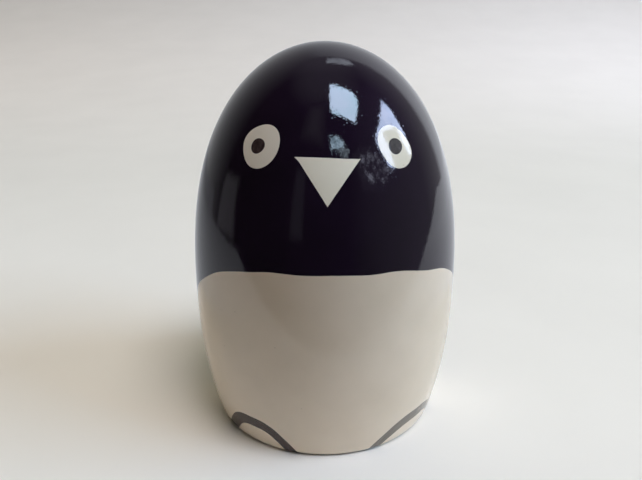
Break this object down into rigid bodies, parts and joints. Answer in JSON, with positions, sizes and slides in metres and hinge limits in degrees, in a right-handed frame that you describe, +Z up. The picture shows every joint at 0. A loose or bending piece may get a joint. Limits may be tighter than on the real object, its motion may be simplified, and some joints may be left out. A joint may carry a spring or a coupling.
{
  "type": "penguin figurine",
  "caption": "Hollow egg-shaped ceramic penguin that stands on a foot ring, with flush black and ivory glaze, a painted face and feet, and a soft stopper in its base.",
  "frame": {"origin": "centre of the foot ring, on the surface that the figurine stands on", "axes": "+Z up the egg's axis, -Y out of the penguin's face and belly, +X towards its own left"},
  "size_m": [0.0708, 0.0708, 0.1],
  "materials": {
    "bisque": "unglazed fired earthenware, fine and dry",
    "black_glaze": "high gloss black glaze",
    "ivory_glaze": "high gloss clear glaze over an ivory body",
    "pupil_colour": "brown-black underglaze dot under clear glaze",
    "brushed_line": "dark grey-brown brushed underglaze line under clear glaze",
    "stopper_rubber": "soft moulded, milky, satin"
  },
  "bodies": {
    "figurine": {"body_shell": "bisque", "black_glaze": "black_glaze", "belly_glaze": "ivory_glaze", "left_eye_white": "ivory_glaze", "right_eye_white": "ivory_glaze", "left_pupil": "pupil_colour", "right_pupil": "pupil_colour", "beak": "ivory_glaze", "left_foot_line": "brushed_line", "right_foot_line": "brushed_line", "left_foot": "ivory_glaze", "right_foot": "ivory_glaze"},
    "stopper": {"base_stopper": "stopper_rubber"}
  },
  "joints": [
    {"name": "stopper_pull", "type": "slide", "parent": "figurine", "child": "stopper", "axis": [0, 0, -1], "range_m": [0, 0.02]}
  ]
}
